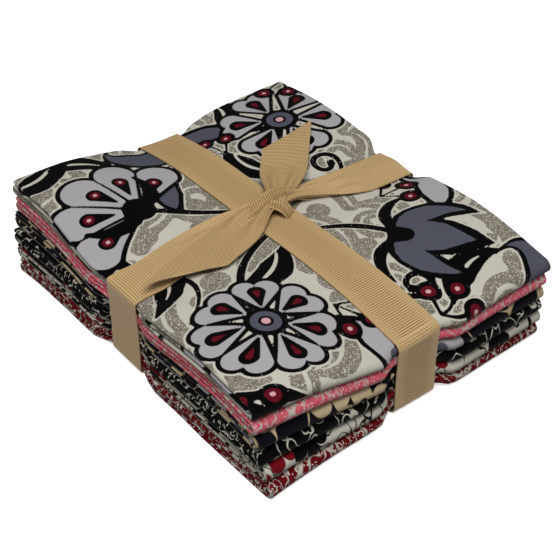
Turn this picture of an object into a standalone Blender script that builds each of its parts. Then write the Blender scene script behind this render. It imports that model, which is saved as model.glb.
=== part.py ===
"""A bundle of fat quarters: six cotton quarters, each folded in thirds both ways,
tied crosswise by one ribbon.

X runs along the front face to the right, Y to the back, Z up. Metres throughout.
Each quarter is a letter-folded strip: its middle panel lies between the bottom panel and the top panel,
its large round fold is at the front and its small one at the back.
"""
import math

import bmesh
import bpy
import numpy as np

MM = 0.001

# Driving sizes
QUARTER_WIDTH = 0.457
QUARTER_LENGTH = 0.559
THIRDS = 3
RIBBON_WIDTH = 0.022
RIBBON_THICK = 1.0 * MM
FOLD_WIDTH = QUARTER_WIDTH / THIRDS
FOLD_DEPTH = QUARTER_LENGTH / THIRDS
NOMINAL_HEIGHT = 46.0 * MM
PIECE_GAP = 0.4 * MM
PANEL_GAP = 0.5 * MM
RIBBON_GAP = 0.4 * MM
RIM_DEPTH = 1.3 * MM
RIM_THIN = 0.45
RAW_EDGE_SETBACK = 1.8 * MM
MIDDLE_PANEL_REACH = 0.4 * MM

# Where the stack's middle lies, so that the whole bundle is centred on the origin
STACK_CENTRE = (0.99 * MM, 1.4 * MM)

# Height of the top cloth above the table, in mm: one row for each Y, one column for each X
TOP_X = np.array([-76.0, -50.0, -28.0, -12.0, 13.7, 30.0, 52.0, 76.0]) * MM
TOP_ROWS = [
    # y, then the heights at the eight X
    (-93.0, 43.4, 41.8, 38.0, 35.2, 36.5, 38.4, 40.2, 40.6),
    (-56.0, 44.2, 46.4, 44.2, 42.1, 42.8, 45.0, 47.2, 47.2),
    (-28.0, 40.8, 44.8, 44.8, 44.3, 44.4, 45.2, 46.6, 47.4),
    (-10.0, 37.4, 42.8, 44.4, 44.7, 44.7, 44.5, 44.2, 44.4),
    (16.0, 37.9, 43.4, 44.7, 44.8, 45.0, 45.0, 45.2, 45.6),
    (33.0, 43.2, 46.6, 46.2, 45.5, 45.7, 46.6, 48.6, 50.4),
    (58.0, 49.0, 50.4, 48.2, 46.2, 46.4, 49.0, 51.4, 52.4),
    (93.0, 49.4, 49.8, 46.8, 43.4, 43.7, 48.0, 50.4, 51.2),
]

# Each quarter from the bottom up: its share of the height, then how far its four corners lie
# from the nominal rectangle in X and Y, in mm
QUARTERS = [
    # name, share, front left, front right, back right, back left
    ("fat_quarter_1", 1.00, (0.6, -3.6), (-1.0, 2.0), (-0.6, -0.4), (-2.6, -0.2)),
    ("fat_quarter_2", 1.04, (0.4, -1.6), (-1.4, 1.2), (0.6, 0.6), (-2.6, 0.2)),
    ("fat_quarter_3", 0.96, (-0.6, 0.2), (-1.8, 1.0), (-0.8, -0.6), (-2.6, 0.2)),
    ("fat_quarter_4", 1.04, (-1.2, 1.6), (-2.0, 1.2), (0.4, 0.8), (-1.4, 0.4)),
    ("fat_quarter_5", 1.00, (-1.6, 2.6), (-1.6, 1.0), (-0.4, -0.2), (0.2, 0.0)),
    ("fat_quarter_6", 0.96, (-1.6, 3.0), (-0.4, 0.8), (0.2, 0.4), (0.6, 0.3)),
]

# Stations that every quarter shares, so that their surfaces stay parallel
SHARED_X = np.array([-71.0, -48.0, -26.0, -12.0, 13.7, 28.0, 50.0, 71.0]) * MM
SHARED_Y = np.array([-83.0, -55.0, -26.0, -10.0, 16.0, 31.0, 57.0, 83.0]) * MM
LARGE_FOLD_STEPS = 6
SMALL_FOLD_STEPS = 4

# The ribbon draws the middle of each edge in and lifts its underside
PINCH_FRONT = 2.7 * MM
PINCH_BACK = 1.8 * MM
PINCH_LEFT = 1.0 * MM
PINCH_RIGHT = 1.5 * MM
PINCH_REACH = 24.0 * MM
PINCH_FLAT = 13.0 * MM
GROOVE_DEPTH = 1.75 * MM
EDGE_LIFT = 0.8 * MM
EDGE_LIFT_START = 58.0 * MM
# Beyond the ribbon the folds swell past a third of the cut cloth
FULL_SIDES = 2.0 * MM
FULL_ENDS = 1.0 * MM

# The band along Y: X of its middle at the front and at the back
BAND_Y_FRONT = 2.2 * MM
BAND_Y_BACK = -0.5 * MM

# The band along X, which gathers to the knot: mm
BAND_X_ROWS = [
    # x, y of the middle, width, lift over the cloth, thickness
    (-58.0, 2.6, 22.0, 0.0, 1.0),
    (-44.0, 3.6, 22.0, 0.0, 1.0),
    (-30.0, 5.0, 20.5, 0.2, 1.1),
    (-18.0, 6.4, 15.0, 1.6, 1.5),
    (-6.0, 5.6, 9.0, 3.4, 2.4),
    (6.0, 4.0, 8.0, 4.6, 3.0),
    (16.0, 5.0, 7.5, 3.2, 2.4),
    (26.0, 5.2, 11.5, 1.2, 1.5),
    (38.0, 3.0, 18.5, 0.1, 1.1),
    (50.0, 2.0, 22.0, 0.0, 1.0),
    (60.0, 1.8, 22.0, 0.0, 1.0),
]
BAND_X_LEFT = 4.5 * MM
BAND_X_RIGHT = 1.5 * MM
# How tightly each band turns over the stack's edges
LARGE_FOLD_BEND = 3.4 * MM
RIM_BEND = 1.7 * MM
BEND_TURNS = (72.0, 48.0, 24.0, 0.0)
UNDER_RUN_START = 9.0 * MM
UNDER_CROSSING_STEP = 0.25 * MM

# Knot lumps: mm
KNOT_SEGMENTS = 14
KNOT_RINGS = 8
KNOT_ROWS = [
    # x, y, height over the cloth, radius along, radius across, radius up, turn in degrees
    (4.5, 3.5, 5.0, 8.2, 6.6, 4.4, 20.0),
    (3.0, 5.5, 8.0, 7.0, 3.6, 2.6, 8.0),
    (10.0, 5.5, 5.4, 5.4, 4.4, 3.6, -20.0),
]

# Tails: their left and right edges in mm, with the lift over the cloth and the depth of the pleats
TAIL_BACK_ROWS = [
    # left x, left y, right x, right y, lift, pleat
    (2.0, 6.5, 10.0, 2.0, 5.6, 1.6),
    (7.5, 16.0, 19.0, 7.5, 5.0, 1.7),
    (11.5, 24.5, 29.5, 13.5, 3.4, 1.0),
    (15.7, 31.5, 37.5, 21.5, 2.0, 0.4),
    (21.5, 38.0, 46.0, 31.0, 1.5, 0.0),
    (29.0, 44.7, 59.5, 45.5, 1.6, 0.0),
]
TAIL_FRONT_ROWS = [
    (2.0, 1.0, -2.0, 8.0, 5.6, 1.4),
    (-8.0, -5.0, -10.0, 11.5, 4.6, 1.2),
    (-19.0, -11.5, -19.5, 10.0, 3.2, 0.5),
    (-30.0, -15.5, -33.0, 6.5, 2.3, 0.0),
    (-37.5, -17.0, -47.0, 3.4, 1.9, 0.0),
    (-52.0, -14.5, -59.0, -0.5, 1.7, 0.0),
    (-70.0, -7.2, -72.5, -5.6, 1.6, 0.0),
]
TAIL_COLUMNS = 7
PLEATS = 2.0

CLOTH_COLOURS = {
    "fat_quarter_1": (0.30, 0.02, 0.03),
    "fat_quarter_2": (0.60, 0.52, 0.42),
    "fat_quarter_3": (0.02, 0.02, 0.02),
    "fat_quarter_4": (0.04, 0.04, 0.06),
    "fat_quarter_5": (0.72, 0.22, 0.26),
    "fat_quarter_6": (0.58, 0.54, 0.45),
}
RIBBON_COLOUR = (0.51, 0.33, 0.13)


def smooth_between(x, knots, values):
    """Read a smooth curve through values at the knots. The last axis of values runs along the knots."""
    values = np.asarray(values, float)
    slopes = np.gradient(values, knots, axis=-1)
    x = np.clip(x, knots[0], knots[-1])
    i = np.clip(np.searchsorted(knots, x) - 1, 0, len(knots) - 2)
    step = knots[i + 1] - knots[i]
    t = (x - knots[i]) / step
    start = values[..., i] * (1 + 2 * t) * (1 - t) ** 2 + slopes[..., i] * step * t * (1 - t) ** 2
    end = values[..., i + 1] * t * t * (3 - 2 * t) + slopes[..., i + 1] * step * t * t * (t - 1)
    return start + end


def ease(t):
    """Rise from 0 to 1 with flat ends."""
    t = min(max(t, 0.0), 1.0)
    return t * t * (3 - 2 * t)


def top_height(x, y):
    """Height of the top cloth."""
    rows_y = np.array([row[0] for row in TOP_ROWS]) * MM
    heights = np.array([row[1:] for row in TOP_ROWS]) * MM
    along_x = smooth_between(x, TOP_X, heights)
    return float(smooth_between(y, rows_y, along_x))


def near_band(distance):
    """1 under a band, 0 beyond its reach."""
    return 1 - ease((abs(distance) - PINCH_FLAT) / (PINCH_REACH - PINCH_FLAT))


def band_y_middle(y):
    """X of the middle of the band along Y."""
    return BAND_Y_FRONT + (BAND_Y_BACK - BAND_Y_FRONT) * (y / FOLD_DEPTH + 0.5)


def band_x_middle(x):
    """Y of the middle of the band along X, where it lies straight."""
    return BAND_X_LEFT + (BAND_X_RIGHT - BAND_X_LEFT) * (x / FOLD_WIDTH + 0.5)


def bottom_height(x, y):
    """Height of the stack's underside: flat but for the hollows over the ribbon."""
    lift_y = EDGE_LIFT * ease((abs(y) - EDGE_LIFT_START) / (FOLD_DEPTH / 2 - EDGE_LIFT_START))
    lift_x = EDGE_LIFT * ease((abs(x) - EDGE_LIFT_START) / (FOLD_WIDTH / 2 - EDGE_LIFT_START))
    over_y_band = (GROOVE_DEPTH + lift_y) * near_band(x - band_y_middle(y))
    over_x_band = (GROOVE_DEPTH + lift_x) * near_band(y - band_x_middle(x))
    return max(over_y_band, over_x_band)


def height_at(x, y, share):
    """Height of the level that has this share of the stack under it."""
    low = bottom_height(x, y)
    return low + share * (top_height(x, y) - low)


def side_x(side, y, corners):
    """X of a quarter's left (-1) or right (1) edge at this Y."""
    front_left, front_right, back_right, back_left = corners
    front, back = (front_left, back_left) if side < 0 else (front_right, back_right)
    corner = (front if y < 0 else back)[0] * MM
    spread = min(abs(y) / (FOLD_DEPTH / 2), 1.0) ** 2
    pinch, middle = (PINCH_LEFT, BAND_X_LEFT) if side < 0 else (PINCH_RIGHT, BAND_X_RIGHT)
    drawn = (pinch + FULL_SIDES) * near_band(y - middle)
    return side * (FOLD_WIDTH / 2 + FULL_SIDES - drawn) + corner * spread


def end_shift(side, x, corners):
    """How far a quarter's front (-1) or back (1) fold lies from the nominal depth at this X."""
    front_left, front_right, back_right, back_left = corners
    left, right = (front_left, front_right) if side < 0 else (back_left, back_right)
    corner = (left if x < 0 else right)[1] * MM
    spread = min(abs(x) / (FOLD_WIDTH / 2), 1.0) ** 2
    pinch, middle = (PINCH_FRONT, BAND_Y_FRONT) if side < 0 else (PINCH_BACK, BAND_Y_BACK)
    drawn = (pinch + FULL_ENDS) * near_band(x - middle)
    return corner * spread + side * (FULL_ENDS - drawn)


def fold_line(height):
    """The middle line of one letter-folded quarter: points (kind, y, level) from the top panel's
    raw edge, round the large front fold, along the bottom panel, round the small back fold, to the
    middle panel's end. kind says which edge the point moves with: -1 front, 1 back, 0 neither."""
    panel = (height - 2 * PANEL_GAP) / THIRDS
    bottom = panel / 2
    middle = bottom + panel + PANEL_GAP
    top = middle + panel + PANEL_GAP
    half = FOLD_DEPTH / 2
    large = (top - bottom) / 2
    small = (middle - bottom) / 2
    front_y = -half + large + panel / 2
    back_y = half - small - panel / 2
    line = [(1, half - RAW_EDGE_SETBACK, top)]
    line += [(0, y, top) for y in SHARED_Y[::-1]]
    for step in range(LARGE_FOLD_STEPS + 1):
        turn = math.pi * step / LARGE_FOLD_STEPS
        line.append((-1, front_y - large * math.sin(turn), bottom + large * (1 + math.cos(turn))))
    line += [(0, y, bottom) for y in SHARED_Y]
    for step in range(SMALL_FOLD_STEPS + 1):
        turn = math.pi * step / SMALL_FOLD_STEPS
        line.append((1, back_y + small * math.sin(turn), bottom + small * (1 - math.cos(turn))))
    line += [(0, y, middle) for y in SHARED_Y[::-1]]
    line.append((-1, front_y - MIDDLE_PANEL_REACH, middle))
    return line, panel


def offset_sides(line, thick):
    """Points on both sides of a line of (kind, y, level), half a thickness away."""
    points = np.array([(y, level) for _, y, level in line])
    along = np.gradient(points, axis=0)
    along /= np.linalg.norm(along, axis=1, keepdims=True)
    normal = np.stack([-along[:, 1], along[:, 0]], axis=1)
    # On the straight runs only the level may move, so that stations stay shared
    for i, (kind, _, _) in enumerate(line):
        if kind == 0:
            normal[i] = (0.0, math.copysign(1.0, normal[i][1]))
    half = thick / 2
    return points + normal * half, points - normal * half


def add_object(name, verts, faces, colour, roughness):
    """Make one mesh object from vertices and faces, facing out."""
    mesh = bpy.data.meshes.new(name)
    mesh.from_pydata([tuple(v) for v in verts], [], faces)
    work = bmesh.new()
    work.from_mesh(mesh)
    bmesh.ops.recalc_face_normals(work, faces=work.faces)
    bmesh.ops.triangulate(work, faces=work.faces)
    work.to_mesh(mesh)
    work.free()
    obj = bpy.data.objects.new(name, mesh)
    bpy.context.scene.collection.objects.link(obj)
    material = bpy.data.materials.new(name)
    material.use_nodes = True
    shader = material.node_tree.nodes["Principled BSDF"]
    shader.inputs["Base Color"].default_value = (*colour, 1.0)
    shader.inputs["Roughness"].default_value = roughness
    shader.inputs["Metallic"].default_value = 0.0
    mesh.materials.append(material)
    return obj


def fat_quarter(name, corners, level_low, level_high):
    """One folded quarter between two levels of the stack."""
    line, panel = fold_line(level_high - level_low)
    full = offset_sides(line, panel)
    rim = offset_sides(line, panel * RIM_THIN)
    stations = [(-1, 0.0, rim), (-1, RIM_DEPTH, full)]
    stations += [(0, x, full) for x in SHARED_X]
    stations += [(1, RIM_DEPTH, full), (1, 0.0, rim)]
    verts, faces = [], []
    count = len(line)
    for side, place, (outer, inner) in stations:
        ring = list(outer) + list(inner[::-1])
        kinds = [kind for kind, _, _ in line]
        kinds += kinds[::-1]
        for (y, level), kind in zip(ring, kinds):
            x = side_x(side, y, corners) - side * place if side else place
            y = y + end_shift(kind, x, corners) if kind else y
            share = (level_low + level) / NOMINAL_HEIGHT
            verts.append((x + STACK_CENTRE[0], y + STACK_CENTRE[1], height_at(x, y, share)))
    size = 2 * count
    for ring in range(len(stations) - 1):
        for i in range(size):
            j = (i + 1) % size
            faces.append((ring * size + i, ring * size + j, (ring + 1) * size + j, (ring + 1) * size + i))
    for ring in (0, len(stations) - 1):
        for i in range(count - 1):
            faces.append((ring * size + i, ring * size + i + 1,
                          ring * size + size - 2 - i, ring * size + size - 1 - i))
    return add_object(name, verts, faces, CLOTH_COLOURS[name], 0.9)


def cloth_top(x, y):
    """Height of the modelled top cloth, read along the chords between shared stations."""
    xs = np.concatenate([[-FOLD_WIDTH / 2], SHARED_X, [FOLD_WIDTH / 2]])
    ys = np.concatenate([[-FOLD_DEPTH / 2], SHARED_Y, [FOLD_DEPTH / 2]])
    i = int(np.clip(np.searchsorted(ys, y) - 1, 0, len(ys) - 2))
    rows = [np.interp(x, xs, [top_height(station, ys[k]) for station in xs]) for k in (i, i + 1)]
    return float(np.interp(y, ys[i:i + 2], rows))


def sheet_solid(name, grid, thick, closed=False, colour=RIBBON_COLOUR):
    """A closed slab on a grid of middle points: grid[i][j] is (point, direction of its thickness)."""
    rows, columns = len(grid), len(grid[0])
    verts = []
    for side in (1, -1):
        for i, row in enumerate(grid):
            for point, up in row:
                verts.append(np.asarray(point) + np.asarray(up) * side * thick[i] / 2)
    layer = rows * columns

    def index(side, i, j):
        return side * layer + (i % rows) * columns + j

    faces = []
    for i in range(rows if closed else rows - 1):
        for j in range(columns - 1):
            faces.append((index(0, i, j), index(0, i + 1, j), index(0, i + 1, j + 1), index(0, i, j + 1)))
            faces.append((index(1, i, j), index(1, i, j + 1), index(1, i + 1, j + 1), index(1, i + 1, j)))
        for j in (0, columns - 1):
            faces.append((index(0, i, j), index(1, i, j), index(1, i + 1, j), index(0, i + 1, j)))
    if not closed:
        for i in (0, rows - 1):
            for j in range(columns - 1):
                faces.append((index(0, i, j), index(0, i, j + 1), index(1, i, j + 1), index(1, i, j)))
    return add_object(name, verts, faces, colour, 0.45)


def loop_rows(run, faces, corner, foot, heights):
    """The run of a band round the stack, as (along, height, (out, up)): over the top at the given
    run stations, down the two faces at their distances from the middle, and flat below at height `foot`.
    heights are those of the top at the two faces."""
    rows = [(s, None, (0.0, 1.0)) for s in run]
    for side, face, high in ((1, faces[1], heights[1]), (-1, faces[0], heights[0])):
        down = []
        for turn in BEND_TURNS:
            out, up = math.cos(math.radians(turn)), math.sin(math.radians(turn))
            down.append((side * (face - corner + corner * out), high - corner + corner * up, (side * out, up)))
        down.append((side * face, (high + foot) / 2, (side * 1.0, 0.0)))
        for turn in BEND_TURNS[::-1]:
            out, up = math.cos(math.radians(turn)), -math.sin(math.radians(turn))
            down.append((side * (face - corner + corner * out), foot + corner + corner * up, (side * out, up)))
        down.append((side * (face - UNDER_RUN_START), foot, (0.0, -1.0)))
        rows += down if side > 0 else down[::-1]
    return rows


def band_along_y():
    """The band that lies flat over the top and passes under the knot."""
    half = RIBBON_WIDTH / 2
    faces = [FOLD_DEPTH / 2 - pinch + RIBBON_GAP + RIBBON_THICK / 2 for pinch in (PINCH_FRONT, PINCH_BACK)]
    lift = RIBBON_GAP + RIBBON_THICK / 2
    foot = RIBBON_THICK / 2
    ends = []
    for side, face in zip((-1, 1), faces):
        middle = BAND_Y_FRONT if side < 0 else BAND_Y_BACK
        edge = side * (face - LARGE_FOLD_BEND)
        ends.append(max(top_height(middle + x, edge) for x in (-half, half)) + lift)
    grid = []
    for along, height, (out, up) in loop_rows(SHARED_Y, faces, LARGE_FOLD_BEND, foot, ends):
        middle = band_y_middle(along)
        row = []
        for x in (middle - half, middle + half):
            z = cloth_top(x, along) + lift if height is None else height
            row.append(((x, along, z), (0.0, out, up)))
        grid.append(row)
    return sheet_solid("ribbon", place(grid), [RIBBON_THICK] * len(grid), closed=True)


def band_along_x():
    """The band that gathers to the knot from both sides."""
    faces = [FOLD_WIDTH / 2 - pinch + RIBBON_GAP + RIBBON_THICK / 2 for pinch in (PINCH_LEFT, PINCH_RIGHT)]
    foot = RIBBON_THICK / 2 + UNDER_CROSSING_STEP
    lift = RIBBON_GAP + RIBBON_THICK / 2
    half = RIBBON_WIDTH / 2
    ends = []
    for side, face in zip((-1, 1), faces):
        middle = BAND_X_LEFT if side < 0 else BAND_X_RIGHT
        edge = side * (face - RIM_BEND)
        ends.append(max(top_height(edge, middle + y) for y in (-half, half)) + lift)
    table = np.array(BAND_X_ROWS) * MM
    grid, thick = [], []
    for along, height, (out, up) in loop_rows(table[:, 0], faces, RIM_BEND, foot, ends):
        middle, width, rise, depth = (float(np.interp(along, table[:, 0], table[:, k])) for k in (1, 2, 3, 4))
        if height is not None:
            middle = band_x_middle(along)
            width, depth = RIBBON_WIDTH, RIBBON_THICK
        row = []
        for across in (-0.5, 0.0, 0.5):
            y = middle + width * across
            z = cloth_top(along, y) + RIBBON_GAP + depth / 2 + rise if height is None else height
            row.append(((along, y, z), (out, 0.0, up)))
        grid.append(row)
        thick.append(depth)
    return sheet_solid("band_along_x", place(grid), thick, closed=True)


def tail(name, rows):
    """One free end of the ribbon, pleated where it leaves the knot and cut on a slant."""
    grid = []
    for left_x, left_y, right_x, right_y, rise, pleat in np.array(rows) * MM:
        row = []
        ground = max(cloth_top(left_x, left_y), cloth_top(right_x, right_y),
                     cloth_top((left_x + right_x) / 2, (left_y + right_y) / 2))
        for j in range(TAIL_COLUMNS):
            t = j / (TAIL_COLUMNS - 1)
            wave = pleat * math.cos(2 * math.pi * PLEATS * t)
            x = left_x + (right_x - left_x) * t
            y = left_y + (right_y - left_y) * t
            row.append(((x, y, ground + RIBBON_GAP + RIBBON_THICK / 2 + rise + wave), (0.0, 0.0, 1.0)))
        grid.append(row)
    return sheet_solid(name, place(grid), [RIBBON_THICK] * len(grid))


def place(grid):
    """Move a grid of (point, direction) from the stack's own middle to the bundle's."""
    return [[((x + STACK_CENTRE[0], y + STACK_CENTRE[1], z), up) for (x, y, z), up in row] for row in grid]


def knot_lump(number, row):
    """One rounded mass of the knot."""
    x, y, rise, along, across, tall = (value * MM for value in row[:6])
    mesh = bpy.data.meshes.new(f"knot_lump_{number}")
    work = bmesh.new()
    bmesh.ops.create_uvsphere(work, u_segments=KNOT_SEGMENTS, v_segments=KNOT_RINGS, radius=1.0)
    turn = math.radians(row[6])
    for vert in work.verts:
        u, v, w = vert.co.x * along, vert.co.y * across, vert.co.z * tall
        vert.co = (x + u * math.cos(turn) - v * math.sin(turn) + STACK_CENTRE[0],
                   y + u * math.sin(turn) + v * math.cos(turn) + STACK_CENTRE[1],
                   cloth_top(x, y) + rise + w)
    work.to_mesh(mesh)
    work.free()
    obj = bpy.data.objects.new(mesh.name, mesh)
    bpy.context.scene.collection.objects.link(obj)
    return obj


def ribbon():
    """The one ribbon: both bands, the knot and the two tails, joined into one body."""
    body = band_along_y()
    parts = [knot_lump(number, row) for number, row in enumerate(KNOT_ROWS)]
    parts += [band_along_x(), tail("tail_back", TAIL_BACK_ROWS), tail("tail_front", TAIL_FRONT_ROWS)]
    for part in parts:
        part.hide_render = True
        part.display_type = "WIRE"
        union = body.modifiers.new(part.name, "BOOLEAN")
        union.operation = "UNION"
        union.solver = "EXACT"
        union.object = part
    return body


def bundle():
    """The whole part, from an empty scene."""
    for obj in list(bpy.data.objects):
        bpy.data.objects.remove(obj)
    total = sum(share for _, share, *_ in QUARTERS)
    level = 0.0
    for name, share, *corners in QUARTERS:
        height = NOMINAL_HEIGHT * share / total
        fat_quarter(name, corners, level, level + height - PIECE_GAP)
        level += height
    ribbon()


bundle()
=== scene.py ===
"""The dressed fat quarter bundle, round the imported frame: six folded cottons and the ribbon that ties them.

X runs along the front face to the right, Y to the back, Z up. Cloth is worked out in millimetres from the
stack's own middle, and each mesh is made in metres in the frame's place.
"""
import math

import bpy
import numpy as np
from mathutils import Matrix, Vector


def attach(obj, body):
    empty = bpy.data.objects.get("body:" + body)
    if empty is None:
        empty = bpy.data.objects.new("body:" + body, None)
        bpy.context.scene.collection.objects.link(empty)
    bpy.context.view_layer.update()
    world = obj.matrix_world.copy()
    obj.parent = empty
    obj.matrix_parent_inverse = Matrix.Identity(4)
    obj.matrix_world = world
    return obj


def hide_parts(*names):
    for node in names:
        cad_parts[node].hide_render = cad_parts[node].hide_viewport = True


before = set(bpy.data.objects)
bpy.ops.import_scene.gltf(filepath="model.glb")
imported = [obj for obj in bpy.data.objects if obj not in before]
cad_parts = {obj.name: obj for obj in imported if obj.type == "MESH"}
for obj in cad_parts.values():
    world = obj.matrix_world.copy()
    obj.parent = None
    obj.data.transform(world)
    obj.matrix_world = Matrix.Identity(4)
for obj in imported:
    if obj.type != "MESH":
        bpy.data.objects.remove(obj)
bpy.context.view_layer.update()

# Sizes that repeat the part's source, in mm
MM = 0.001
QUARTER_WIDTH, QUARTER_LENGTH = 457.0, 559.0
THIRDS = 3
WIDTH, DEPTH = QUARTER_WIDTH / THIRDS, QUARTER_LENGTH / THIRDS
RIBBON_WIDTH = 22.0
NOMINAL_HEIGHT = 46.0
PIECE_GAP, PANEL_GAP = 0.4, 0.5
RAW_EDGE_SETBACK = 1.8
STACK_CENTRE = (0.99, 1.4)
TOP_X = np.array([-76.0, -50.0, -28.0, -12.0, 13.7, 30.0, 52.0, 76.0])
TOP_ROWS = np.array([
    # y, then the height of the top cloth at the eight X. Those at -18, 3 and 23 are the dressed cloth's own
    (-93.0, 43.4, 41.8, 38.0, 35.2, 36.5, 38.4, 40.2, 40.6),
    (-56.0, 44.2, 46.4, 44.2, 42.1, 42.8, 45.0, 47.2, 47.2),
    (-28.0, 40.8, 44.8, 44.8, 44.3, 44.4, 45.2, 46.6, 47.4),
    (-18.0, 39.5, 44.0, 44.7, 44.6, 44.6, 45.0, 45.8, 46.6),
    (-10.0, 37.4, 42.8, 44.4, 44.7, 44.7, 44.5, 44.2, 44.4),
    (3.0, 37.5, 43.1, 44.6, 44.8, 44.9, 44.8, 45.0, 46.0),
    (16.0, 37.9, 43.4, 44.7, 44.8, 45.0, 45.0, 45.2, 45.6),
    (23.0, 41.2, 45.4, 45.6, 45.2, 45.4, 46.0, 47.4, 49.0),
    (33.0, 43.2, 46.6, 46.2, 45.5, 45.7, 46.6, 48.6, 50.4),
    (58.0, 49.0, 50.4, 48.2, 46.2, 46.4, 49.0, 51.4, 52.4),
    (93.0, 49.4, 49.8, 46.8, 43.4, 43.7, 48.0, 50.4, 51.2),
])
PINCH_FRONT, PINCH_BACK, PINCH_LEFT, PINCH_RIGHT = 2.7, 1.8, 1.0, 1.5
# The dressed cloth swells out again closer to the ribbon than the part's coarser solids do
PINCH_REACH, PINCH_FLAT = 21.5, 11.8
FULL_SIDES, FULL_ENDS = 2.0, 1.0
GROOVE_DEPTH, EDGE_LIFT, EDGE_LIFT_START = 1.75, 0.8, 58.0
BAND_Y_FRONT, BAND_Y_BACK = 2.2, -0.5
BAND_X_LEFT, BAND_X_RIGHT = 4.5, 1.5
LARGE_FOLD_BEND, RIM_BEND = 3.4, 1.7
RIBBON_GAP, SOLID_RIBBON = 0.4, 1.0

# Each quarter: node, slot, share of the height, the offsets of its corners (front left, front right, back
# right, back left), whether its first fold lies mirrored, and a seed for its small unevenness
QUARTERS = [
    ("fat_quarter_1", "red_scroll_cotton", 1.00,
     ((0.6, -3.6), (-1.0, 2.0), (-0.6, -0.4), (-2.6, -0.2)), False, 11),
    ("fat_quarter_2", "black_leaf_cotton", 1.04,
     ((0.4, -1.6), (-1.4, 1.2), (0.6, 0.6), (-2.6, 0.2)), True, 23),
    ("fat_quarter_3", "black_vine_cotton", 0.96,
     ((-0.6, 0.2), (-1.8, 1.0), (-0.8, -0.6), (-2.6, 0.2)), False, 37),
    ("fat_quarter_4", "night_petal_cotton", 1.04,
     ((-1.2, 1.6), (-2.0, 1.2), (0.4, 0.8), (-1.4, 0.4)), True, 41),
    ("fat_quarter_5", "coral_scroll_cotton", 1.00,
     ((-1.6, 2.6), (-1.6, 1.0), (-0.4, -0.2), (0.2, 0.0)), False, 53),
    ("fat_quarter_6", "cream_floral_cotton", 0.96,
     ((-1.6, 3.0), (-0.4, 0.8), (0.2, 0.4), (0.6, 0.3)), False, 67),
]
CLOTH = 0.3
RIBBON_CLOTH = 0.45
RIB_PITCH = 1.15
RIB_HEIGHT = 0.13

# How fine the meshes are: the spacing on the panels in mm, and the steps round the bends
TOP_SPACING, LOWER_SPACING = 1.05, 3.6
PANEL_STEPS, LARGE_FOLD_STEPS, SMALL_FOLD_STEPS = 26, 16, 10
LAYER_STEPS, LAYER_LARGE_STEPS, LAYER_SMALL_STEPS = 16, 8, 6
FACE_STEPS, UNDER_STEPS, TOP_BEND_STEPS, FOOT_BEND_STEPS = 120, 34, 12, 8
STRIP_COLUMNS, BAND_COLUMNS = 25, 23
FLAT_COLUMNS = np.array([-11.0, -10.4, -5.0, 0.0, 5.0, 10.4, 11.0])
SHARP_ANGLE = math.radians(55)
# How far apart two strips of the ribbon lie on its one length, so that no two wear alike
STRIP_SHIFT = 500.0

# The camera, in metres
CAMERA_PLACE, CAMERA_AIM = (-0.25544, -0.32841, 0.32193), (0.49660, 0.63228, -0.59465)
CAMERA_LENS, CAMERA_SENSOR = 74.11, 36.0


def smooth_between(x, knots, values):
    """Read a smooth curve at x. values has one row a knot: a number, or a list with one number for each x."""
    x = np.clip(np.asarray(x, float), knots[0], knots[-1])
    values = np.asarray(values, float)
    slopes = np.gradient(values, knots, axis=0)
    i = np.clip(np.searchsorted(knots, x) - 1, 0, len(knots) - 2)
    step = knots[i + 1] - knots[i]
    t = (x - knots[i]) / step

    def pick(table, row):
        return table[row] if table.ndim == 1 else table[row, np.arange(len(row))]

    start = pick(values, i) * (1 + 2 * t) * (1 - t) ** 2 + pick(slopes, i) * step * t * (1 - t) ** 2
    end = pick(values, i + 1) * t * t * (3 - 2 * t) + pick(slopes, i + 1) * step * t * t * (t - 1)
    return start + end


def ease(t):
    """Rise from 0 to 1 with flat ends."""
    t = np.clip(t, 0.0, 1.0)
    return t * t * (3 - 2 * t)


def top_height(x, y):
    """Height of the top cloth."""
    shape = np.broadcast(x, y).shape
    x, y = (np.broadcast_to(v, shape).ravel().astype(float) for v in (x, y))
    along_x = np.stack([smooth_between(x, TOP_X, row[1:]) for row in TOP_ROWS])
    return smooth_between(y, TOP_ROWS[:, 0], along_x).reshape(shape)


def near_band(distance):
    """1 under a band, 0 beyond its reach."""
    return 1 - ease((np.abs(distance) - PINCH_FLAT) / (PINCH_REACH - PINCH_FLAT))


def band_y_middle(y):
    """X of the middle of the band along Y."""
    return BAND_Y_FRONT + (BAND_Y_BACK - BAND_Y_FRONT) * (y / DEPTH + 0.5)


def band_x_middle(x):
    """Y of the middle of the band along X, where it lies straight."""
    return BAND_X_LEFT + (BAND_X_RIGHT - BAND_X_LEFT) * (x / WIDTH + 0.5)


def bottom_height(x, y):
    """Height of the stack's underside."""
    lift_y = EDGE_LIFT * ease((np.abs(y) - EDGE_LIFT_START) / (DEPTH / 2 - EDGE_LIFT_START))
    lift_x = EDGE_LIFT * ease((np.abs(x) - EDGE_LIFT_START) / (WIDTH / 2 - EDGE_LIFT_START))
    return np.maximum((GROOVE_DEPTH + lift_y) * near_band(x - band_y_middle(y)),
                      (GROOVE_DEPTH + lift_x) * near_band(y - band_x_middle(x)))


def side_x(side, y, corners):
    """X of a quarter's left (-1) or right (1) edge at this Y."""
    front_left, front_right, back_right, back_left = corners
    front, back = (front_left, back_left) if side < 0 else (front_right, back_right)
    corner = np.where(y < 0, front[0], back[0])
    spread = np.minimum(np.abs(y) / (DEPTH / 2), 1.0) ** 2
    pinch, middle = (PINCH_LEFT, BAND_X_LEFT) if side < 0 else (PINCH_RIGHT, BAND_X_RIGHT)
    drawn = (pinch + FULL_SIDES) * near_band(y - middle)
    return side * (WIDTH / 2 + FULL_SIDES - drawn) + corner * spread


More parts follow.
